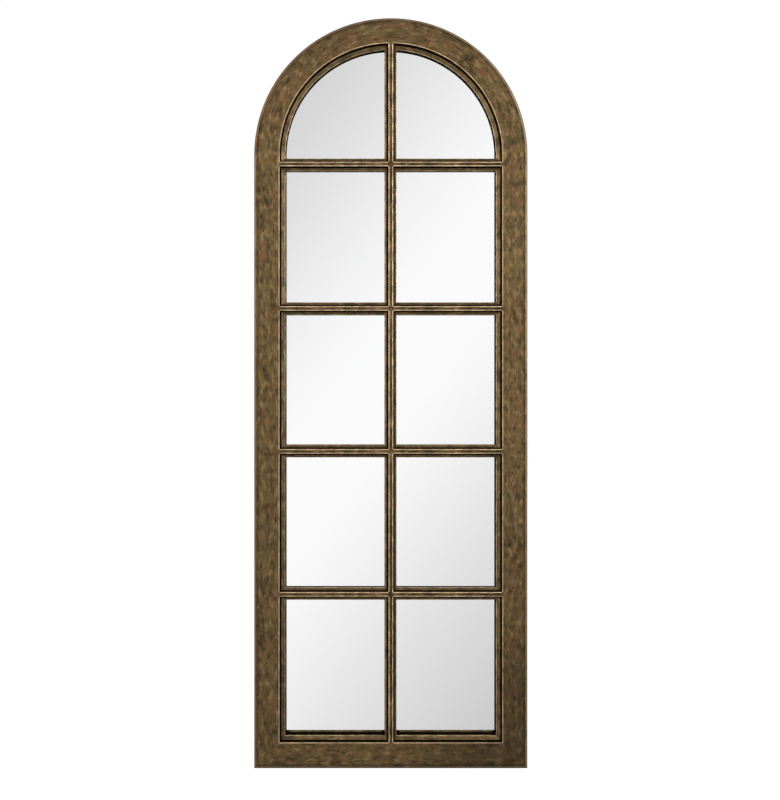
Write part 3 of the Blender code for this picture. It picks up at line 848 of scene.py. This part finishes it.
lay_bar("upright_bar", heights, bar_centres, True, upright_place)
widths = bar_stations(-inner_half, inner_half, (0,))
for number, centre in enumerate(bar_centres, 1):
    lay_bar(
        f"cross_bar_{number}", widths, (0,), False,
        lambda across, depth: at(widths[:, None], depth, centre + across),
    )


# Each pane has a pressed brass bead, mitred into a ring and bent to the arch in the
# head. It falls from a narrow quirk over a rounded nose to the glass, and ends in a lip
# painted black as painted shade, which is wider along the foot, with its edge rolled and
# left bare, standing in for the nose's reflection in the glass.
quirk = 0.0030
bead_sheet = 0.0008
bead_top = 0.0080
bead_fall = 0.0045
bead_brow = 0.0010
bead_nose = 0.0026
bead_seat = 0.0003
frame_band = 0.0114
cross_band = 0.0076
upright_band = 0.0062
frame_lip = 0.0034
foot_lip = 0.0120
bar_lip = 0.0006
roll_share = 0.44
roll_rise = 0.0008
roll_fade = 0.010
# Painted shade: the bead's top is darkened near the quirk, and its inner wall and lip are black.
brow_grime_shade = 0.0018
wall_grime_shade = 0.0026
lip_grime_shade = 0.0080
top_steps, lip_steps, roll_steps = 10, 5, 12
pane_seed, head_seed = 5, 30
bead_foot = bar_depth - bead_sheet
brow_end = bead_top + bead_brow
nose_end = bead_top + bead_fall + bead_nose
bead_seed = 60.0
bead_line = (0.0015, 0.6)
bead_tones = (shade(104, 84, 56), shade(58, 50, 36))
bead_brass = brass_finish("bead_brass", bead_seed, bead_line, bead_tones)

# The lip's points as shares of its width, and the height of its rolled edge at each.
roll_turn = pi * np.arange(roll_steps + 1) / roll_steps
roll = 1 - roll_share / 2 * (1 + np.cos(roll_turn))
lip_share = np.append(run_between(0, 1 - roll_share, lip_steps), roll)
lip_roll = np.append(np.zeros(lip_steps), np.sin(roll_turn))


def bead_section(band, lip):
    """Across and depth of the bead's sheet: foot, quirk wall, brow, sloping top, nose,
    inner wall and lip, then back along the sheet's other side."""
    turn = quarter_turn()
    inner = quirk + band
    top_across = np.concatenate((
        quirk + bead_brow * (1 - np.cos(turn)),
        run_between(quirk + bead_brow, inner - bead_nose, top_steps),
        inner - bead_nose * (1 - np.sin(turn)),
    ))
    top_depth = np.concatenate((
        bead_top + bead_brow * (1 - np.sin(turn)),
        np.full(top_steps, bead_top),
        bead_top + bead_nose * (1 - np.cos(turn)),
    ))
    top_depth += bead_fall * (top_across - quirk) / band
    across = np.concatenate((
        (bead_seat,),
        np.full(wall_steps, quirk),
        top_across,
        np.full(wall_steps, inner),
        inner + lip * lip_share,
        (inner + lip, inner - bead_sheet, inner - bead_sheet, quirk + bead_sheet),
        (quirk + bead_sheet, bead_seat, bead_seat),
    ))
    depth = np.concatenate((
        (bead_foot,),
        run_between(bead_foot, brow_end, wall_steps),
        top_depth,
        run_between(nose_end, bead_foot, wall_steps),
        np.full(len(lip_share), bead_foot),
        (bar_depth, bar_depth, nose_end, brow_end + bead_sheet),
        (bar_depth, bar_depth, bead_foot),
    ))
    return across, depth


frame_across, bead_depth = bead_section(frame_band, frame_lip)
foot_across = bead_section(frame_band, foot_lip)[0]
cross_across = bead_section(cross_band, bar_lip)[0]
upright_across = bead_section(upright_band, bar_lip)[0]
beside_upright = bar_half + upright_across
beside_frame = inner_half - frame_across

# The bead's section unrolled, metres from the middle of its nose, how far each point
# lies sunk, which sets its painted shade, the height of the rolled edge, and what the foot
# leaves bare: the rolled edge, and the wall above it, painted bright as a painted highlight.
inner_wall = frame_across >= quirk + frame_band
bead_round = developed(frame_across, bead_depth)
to_nose = np.abs(bead_round - bead_round[np.argmax(inner_wall)] + bead_nose * pi / 4)
bead_sunk = np.maximum(brow_grime_shade - (frame_across - quirk), 0)
bead_sunk = np.where(frame_across <= quirk, bead_depth - brow_end + brow_grime_shade, bead_sunk)
bead_sunk = np.where(inner_wall, bead_depth - nose_end + wall_grime_shade, bead_sunk)
bead_roll = np.zeros_like(frame_across)
lip_start = np.argmax(inner_wall) + wall_steps
lip_points = slice(lip_start, lip_start + len(lip_roll))
bead_roll[lip_points] = lip_roll
bead_sunk[lip_points] = lip_grime_shade
lit_foot_wall = np.where(inner_wall & (bead_depth < bead_foot), 1, 0)
bare_roll_and_lit_wall = np.where(bead_roll > 0, 1, lit_foot_wall)


def even_shares(length):
    """Shares of a length at even stations, the last one left to what follows."""
    return run_between(0, 1, max(2, int(round(length / station_step))))[:, None]


def strip(first, last, foot=0):
    """Rows of x, z, depth, grime with painted shade, and distance to wear and painted highlight
    from one corner to the next.

    The rows run evenly, and the last is left out. Along the foot the lip's edge rises by
    half a sine wave across the roll, eased in from both corners, and the roll and the wall
    above it lose their painted shade, the wall taking the rubbed colour as a painted
    highlight.
    """
    length = np.max(np.abs(np.subtract(last, first)))
    share = even_shares(length)
    x, z = (a + (b - a) * share for a, b in zip(first, last))
    rise = foot * smooth(np.minimum(share, 1 - share) * length / roll_fade)
    depth = bead_depth - rise * roll_rise * bead_roll
    return x, z, depth, bead_sunk * (1 - rise * bare_roll_and_lit_wall), to_nose * (1 - rise * lit_foot_wall)


def lay_bead(name, side, seed, strips):
    """Join a pane's strips into a ring of rows, and close it on its first row."""
    x, z, depth, sunk, to_wear_and_highlight = (np.vstack((*rows, rows[0][:1])) for rows in zip(*strips))
    steps = np.hypot(np.diff(x, axis=0), np.diff(z, axis=0)).mean(1)
    along = np.append(0, np.cumsum(steps)) + seed
    run, marks = stack_up(bead_round, along[:, None]), {"wear_and_highlight_line": to_wear_and_highlight, "sunk": sunk}
    bead = lay_skin(name + "_brass", at(side * x, depth, z), run, marks, bead_brass, ring=True)
    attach(bead, "mirror")
    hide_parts(name)


floors = [rail_width] + [centre + bar_half for centre in bar_centres]
ceilings = [centre - bar_half for centre in bar_centres]

# In the head the strips run over the top bar, up the stile to the springing, round the
# arch on a circle that ends where it meets the upright, and down the upright.
low = floors[-1] + cross_across
end_turn = np.arccos(beside_upright / beside_frame)
turn = even_shares(crown) * end_turn
bend_x, bend_z = beside_frame * np.cos(turn), spring_z + beside_frame * np.sin(turn)
top = spring_z + beside_frame * np.sin(end_turn)
corners = [(beside_upright, low), (beside_frame, low)]
head_strips = [strip(*corners), strip(corners[1], (beside_frame, np.full_like(low, spring_z)))]
head_strips.append(np.broadcast_arrays(bend_x, bend_z, bead_depth, bead_sunk, to_nose))
head_strips.append(strip((beside_upright, top), corners[0]))

for side, hand in ((-1, "left"), (1, "right")):
    for row, (floor_z, ceiling_z) in enumerate(zip(floors, ceilings)):
        low = floor_z + (cross_across if row else foot_across)
        high = ceiling_z - cross_across
        corners = [(beside_upright, low), (beside_frame, low)]
        corners += [(beside_frame, high), (beside_upright, high)]
        strips = [strip(*corners[:2], foot=row == 0), strip(*corners[1:3]), strip(*corners[2:])]
        strips.append(strip(corners[3], corners[0]))
        lay_bead(f"{hand}_pane_bead_{row + 1}", side, pane_seed * row + side, strips)
    lay_bead(f"{hand}_head_bead", side, head_seed + side, head_strips)


# The mirror is one arched sheet of 4 mm float glass, silvered and painted behind. It
# lies in the timber's rebate, under the lips of the beads, and runs behind all bars.
silver_clean = (0.955, 0.960, 0.957, 1)
silver_dusty = (0.90, 0.90, 0.89, 1)
wiped_cells, wiped_share, wiped_weight = (7, 7, 5), (0.52, 0.80), 0.5
dust_cells, dust_share, dust_weight = (900, 900, 900), (0.68, 0.80), 0.5
haze_tint = 0.3
mirror_rough = (0.012, 0.05)
mirror_finish, tree, shader = new_finish("silvered_glass", metallic=1.0)
place = add_node(tree, "TexCoord").outputs["Object"]
wiped = ease(tree, grain_noise(tree, place, wiped_cells, 5.0, 0.6), *wiped_share)
dust = ease(tree, grain_noise(tree, place, dust_cells, 2.0), *dust_share)
haze = weigh(tree, (dust, dust_weight), (wiped, wiped_weight))
hazed = calculate(tree, "MULTIPLY", haze, haze_tint)
hazed = mix_colours(tree, hazed, silver_clean, silver_dusty)
paint(tree, shader, hazed, ease(tree, haze, 0.0, 1.0, *mirror_rough))
dress("mirror_glass", mirror_finish)


# The backing board is 6 mm hardboard, cut to the arch. It keeps the glass in its
# rebate, and twelve pan-head screws hold it to the timber.
board_brown = shade(126, 92, 60)
board_dark = shade(74, 50, 32)
board_fibre = shade(172, 138, 98)
strand_leans, strand_cells = (0.35, 1.3, 2.4), (1500, 600, 170)
strand_share, strand_weight = (0.62, 0.74), 0.55
fuzz_cells, clouds_cells = (380, 380, 380), (8, 8, 6)
clouds_weight, fuzz_weight = 0.2, 0.8
board_share = (0.25, 0.65)
fuzz_share, board_rough = (0.3, 0.7), (0.82, 0.64)
board_relief, board_bump = 0.0002, 0.7
board_finish, tree, shader = new_finish("hardboard")
place = add_node(tree, "TexCoord").outputs["Object"]
fuzz = grain_noise(tree, place, fuzz_cells, 5.0, 0.65)
clouds = grain_noise(tree, place, clouds_cells)
fibre = 0.0
for lean in strand_leans:
    turned = add_node(tree, "Mapping", {"Vector": place, "Rotation": (0, lean, 0)}).outputs[0]
    strand = ease(tree, grain_noise(tree, turned, strand_cells, 2.0), *strand_share)
    fibre = calculate(tree, "MAXIMUM", fibre, strand)
tone = weigh(tree, (fuzz, fuzz_weight), (clouds, clouds_weight))
colour = mix_colours(tree, ease(tree, tone, *board_share), board_dark, board_brown)
colour = mix_colours(tree, calculate(tree, "MULTIPLY", fibre, strand_weight), colour, board_fibre)
paint(tree, shader, colour, ease(tree, fuzz, *fuzz_share, *board_rough))
raise_grain(tree, shader, calculate(tree, "ADD", fuzz, fibre), board_relief, board_bump)
dress("backing_board", board_finish)


# The screws are 3.5 by 18 mm pan heads in zinc-plated steel, with a rolled thread and
# a punched cross recess. Twelve hold the board, and two hold each hanger strap.
zinc_bright = shade(188, 188, 182)
zinc_dull = shade(138, 138, 130)
zinc_stain = shade(120, 108, 84)
head_height = 0.0020
head_radius = 0.0036
head_edge = 0.0007
thread_crest = 0.00175
thread_root = 0.00120
thread_pitch = 0.0016
point_length = 0.003
recess_length = 0.0019
recess_width = 0.00045
recess_depth = 0.0012
recess_end = 2.5
crest_width, crest_slope = 1.4, 2.4
point_width = 0.05
pole = 0.00001
thread_steps, head_steps, screw_columns = 8, 18, 48
board_twist = 2.4
spangle_cells, spangle_share = (160, 160, 160), (0.35, 0.65)
spangle_rough_share, spangle_rough = (0.3, 0.7), (0.46, 0.30)
stain_cells, stain_share = (55, 55, 55), (0.54, 0.72)
stain_weight, stain_rough = 0.35, 0.22
scratch_cells, scratch_share, scratch_rough = (2600, 300, 240), (0.58, 0.70), 0.12
zinc_relief, zinc_bump = 0.00003, 0.4
zinc, tree, shader = new_finish("zinc_steel", metallic=1.0)
place = add_node(tree, "TexCoord").outputs["Object"]
spangle = grain_noise(tree, place, spangle_cells, 4.0, 0.6)
stain = ease(tree, grain_noise(tree, place, stain_cells, 4.0, 0.6), *stain_share)
scratch = ease(tree, grain_noise(tree, place, scratch_cells, 2.0), *scratch_share)
colour = mix_colours(tree, ease(tree, spangle, *spangle_share), zinc_dull, zinc_bright)
colour = mix_colours(tree, calculate(tree, "MULTIPLY", stain, stain_weight), colour, zinc_stain)
dull = ease(tree, spangle, *spangle_rough_share, *spangle_rough)
dull = weigh(tree, (stain, stain_rough), (scratch, scratch_rough), start=dull)
paint(tree, shader, colour, dull)
raise_grain(tree, shader, scratch, zinc_relief, zinc_bump)


def full_turn(columns):
    """A row of even angles once round, with the first repeated at the end."""
    return np.linspace(0, 2 * pi, columns + 1)[None, :]


def screw_points(x, z, tip, top, twist):
    """A turned screw, point to crown, as a grid of height by angle round the Y axis.

    The thread is a triangle wave of the height plus one pitch a turn. The head's height
    falls as a quarter ellipse from its crown, less the recess, which is the deeper of
    two crossed troughs that fade out along their length.
    """
    under = top - head_height
    angle = full_turn(screw_columns)
    flat = np.zeros_like(angle)
    height = np.arange(tip - under, 0, thread_pitch / thread_steps)[:, None]
    wave = (height / thread_pitch - angle / 2 / pi) % 1
    crest = np.clip(crest_width - np.abs(2 * wave - 1) * crest_slope, 0, 1)
    taper = np.clip((height + under - tip) / point_length, point_width, 1)
    shank = (thread_root + (thread_crest - thread_root) * crest) * taper
    out = np.sin(np.linspace(pi / 2, 0, head_steps))[:, None] * head_radius + flat
    along, over = np.abs(out * np.cos(angle - twist)), np.abs(out * np.sin(angle - twist))
    first = np.clip(1 - along / recess_length, 0, 1) * (over < recess_width)
    second = np.clip(1 - over / recess_length, 0, 1) * (along < recess_width)
    punched = recess_depth * np.minimum(np.maximum(first, second) * recess_end, 1)
    dome = np.sqrt(np.clip(1 - (out / head_radius) ** 2, 0, 1))
    dome = head_edge + (head_height - head_edge) * dome
    rounds = np.vstack((shank, flat + thread_root, flat + head_radius, out))
    rise = np.vstack((height + flat, flat, flat, dome - punched))
    rounds[-1] = pole
    return stack_up(x + rounds * np.cos(angle), under + rise, z + rounds * np.sin(angle))


def drive_screw(name, twist):
    """A screw in the box of its packed one, its recess turned by so many radians."""
    low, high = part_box(name)
    middle = (low + high) / 2
    points = screw_points(middle.x, middle.z, low.y, high.y, twist)
    screw = lay_skin(name + "_zinc", points, points[..., :2], {}, zinc)
    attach(screw, "mirror")
    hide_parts(name)


for number in range(1, 13):
    drive_screw(f"board_screw_{number}", board_twist * number)


# Each hanger is a strap of 2 mm zinc-plated steel, curled at the top round the bar of a
# wire ring and held to the stile by two screws. The ring is bent to a D, welded at its
# foot, and swings up to hook on the wall.
strap_sheet = 0.002
strap_corner = 0.006
strap_edge = 0.0004
curl_turn = 1.5 * pi
edge_steps, foot_steps, straight_rows, curl_steps = 4, 8, 22, 54
wire = 0.002
ring_corner = 0.006
ring_steps, bow_steps, wire_columns = 8, 48, 20
hanger_twist = 1.1


def rounded_section(half, thick, edge):
    """A flat bar's section as (across, out): straight sides between rounded edges."""
    across, out = [], []
    for quarter, (right, up) in enumerate(((1, 1), (-1, 1), (-1, -1), (1, -1))):
        turn = pi / 2 * (quarter + np.arange(edge_steps + 1) / edge_steps)
        across.append(right * (half - edge) + edge * np.cos(turn))
        out.append(up * (thick - edge) + edge * np.sin(turn) + np.zeros_like(half))
    return [np.concatenate((*runs, runs[0][..., :1]), -1) for runs in (across, out)]


def strap_points(name):
    """The strap's flat bar carried up the timber and three quarters round the ring's
    bar. Its width is drawn in by a quarter circle at each lower corner."""
    low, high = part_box(name)
    curl = (high.y - low.y) / 2
    axis_y, axis_z = low.y + curl, high.z - curl
    middle_radius = curl - strap_sheet / 2
    foot = strap_corner * (1 - np.cos(pi / 2 * np.arange(1, foot_steps + 1) / foot_steps))
    straight = np.linspace(strap_corner, axis_z - low.z, straight_rows + 2)[1:-1]
    straight = np.append(foot, straight)
    turn = curl_turn * np.arange(curl_steps + 1) / curl_steps
    turn = np.append(np.zeros_like(straight), turn)
    up = np.append(straight, np.full(curl_steps + 1, axis_z - low.z))
    z = low.z + up + middle_radius * np.sin(turn)
    y = axis_y - middle_radius * np.cos(turn)
    short = np.clip(strap_corner - up, 0, strap_corner)
    half = (high.x - low.x) / 2 - strap_corner + np.sqrt(strap_corner**2 - short**2)
    across, out = rounded_section(half[:, None], strap_sheet / 2, strap_edge)
    out_y, out_z = np.cos(turn)[:, None] * out, -np.sin(turn)[:, None] * out
    return stack_up((low.x + high.x) / 2 + across, y[:, None] + out_y, z[:, None] + out_z)


def ring_points(name):
    """Round wire carried round a D: a straight bar, two rounded shoulders and half a
    circle. Each row is a circle across the path."""
    low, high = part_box(name)
    middle_x, axis_y, axis_z = (low.x + high.x) / 2, (low.y + high.y) / 2, high.z - wire
    half, drop = (high.x - low.x) / 2 - wire, high.z - low.z - 2 * wire
    flat = half - ring_corner
    turn = run_between(0, pi / 2, ring_steps)
    bow = pi * np.arange(bow_steps + 1) / bow_steps
    x = np.concatenate((
        run_between(-flat, flat, ring_steps),
        flat + ring_corner * np.sin(turn),
        half * np.cos(bow),
        -flat - ring_corner * np.cos(turn[1:]),
    ))
    z = np.concatenate((
        np.zeros(ring_steps),
        ring_corner * (np.cos(turn) - 1),
        -ring_corner - (drop - ring_corner) * np.sin(bow),
        ring_corner * (np.sin(turn[1:]) - 1),
    ))
    ahead = stack_up(np.roll(x, -1) - np.roll(x, 1), np.roll(z, -1) - np.roll(z, 1))
    ahead /= np.linalg.norm(ahead, axis=1, keepdims=True)
    out, behind = wire * np.cos(full_turn(wire_columns)), wire * np.sin(full_turn(wire_columns))
    points = stack_up(
        middle_x + x[:, None] - ahead[:, 1:] * out,
        axis_y + behind,
        axis_z + z[:, None] + ahead[:, :1] * out,
    )
    return np.concatenate((points, points[:1]))


for hand in ("left", "right"):
    strap_name, ring_name = hand + "_hanger_strap", hand + "_hanger_ring"
    points = strap_points(strap_name)
    strap = lay_skin(strap_name + "_zinc", points, points[..., :2], {}, zinc)
    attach(strap, "mirror")
    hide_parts(strap_name)
    points = ring_points(ring_name)
    wire_ring = lay_skin(ring_name + "_zinc", points, points[..., :2], {}, zinc, ring=True)
    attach(wire_ring, hand + "_ring")
    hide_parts(ring_name)
    for number in (1, 2):
        drive_screw(f"{hand}_hanger_screw_{number}", hanger_twist * number)


# Two moulded rubber bumpers keep the foot of the mirror as far off the wall as the
# hangers do. They are glued to the foot rail and have picked up a little dust.
bumper_taper = 0.0015
bumper_edge = 0.0014
bumper_steps, bumper_edge_steps, bumper_columns = 6, 8, 72
bumper_black = shade(34, 34, 34)
bumper_dust = shade(92, 90, 86)
bloom_cells, bloom_share, bloom_most = (240, 240, 240), (0.46, 0.78), 0.55
pit_cells = (2400, 2400, 2400)
rubber_rough = (0.55, 0.80)
rubber_relief, rubber_bump = 0.00008, 0.5
rubber, tree, shader = new_finish("black_rubber")
place = add_node(tree, "TexCoord").outputs["Object"]
bloom = grain_noise(tree, place, bloom_cells, 4.0, 0.6)
bloom = ease(tree, bloom, *bloom_share, 0.0, bloom_most)
dusted = mix_colours(tree, bloom, bumper_black, bumper_dust)
paint(tree, shader, dusted, ease(tree, bloom, 0.0, bloom_most, *rubber_rough))
pitted = grain_noise(tree, place, pit_cells, 2.0)
raise_grain(tree, shader, pitted, rubber_relief, rubber_bump)


def bumper_points(name):
    """A profile turned round the Y axis: base, tapering wall, quarter-round edge and flat
    top, from the middle of the base to the middle of the top."""
    low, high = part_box(name)
    middle = (low + high) / 2
    radius, tall = (high.x - low.x) / 2, high.y - low.y
    narrow = radius - bumper_taper
    turn = pi / 2 * np.arange(bumper_edge_steps + 1) / bumper_edge_steps
    out = np.concatenate((
        (pole,),
        run_between(radius, narrow, bumper_steps),
        narrow - bumper_edge * (1 - np.cos(turn)),
        run_between(narrow - bumper_edge, pole, bumper_steps)[1:],
        (pole,),
    ))[:, None]
    rise = np.concatenate((
        (0,),
        run_between(0, tall - bumper_edge, bumper_steps),
        tall - bumper_edge * (1 - np.sin(turn)),
        np.full(bumper_steps, tall),
    ))[:, None]
    around = full_turn(bumper_columns)
    return stack_up(middle.x + out * np.cos(around), low.y + rise, middle.z + out * np.sin(around))


for hand in ("left", "right"):
    name = hand + "_wall_bumper"
    points = bumper_points(name)
    bumper = lay_skin(name + "_rubber", points, points[..., :2], {}, rubber)
    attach(bumper, "mirror")
    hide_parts(name)
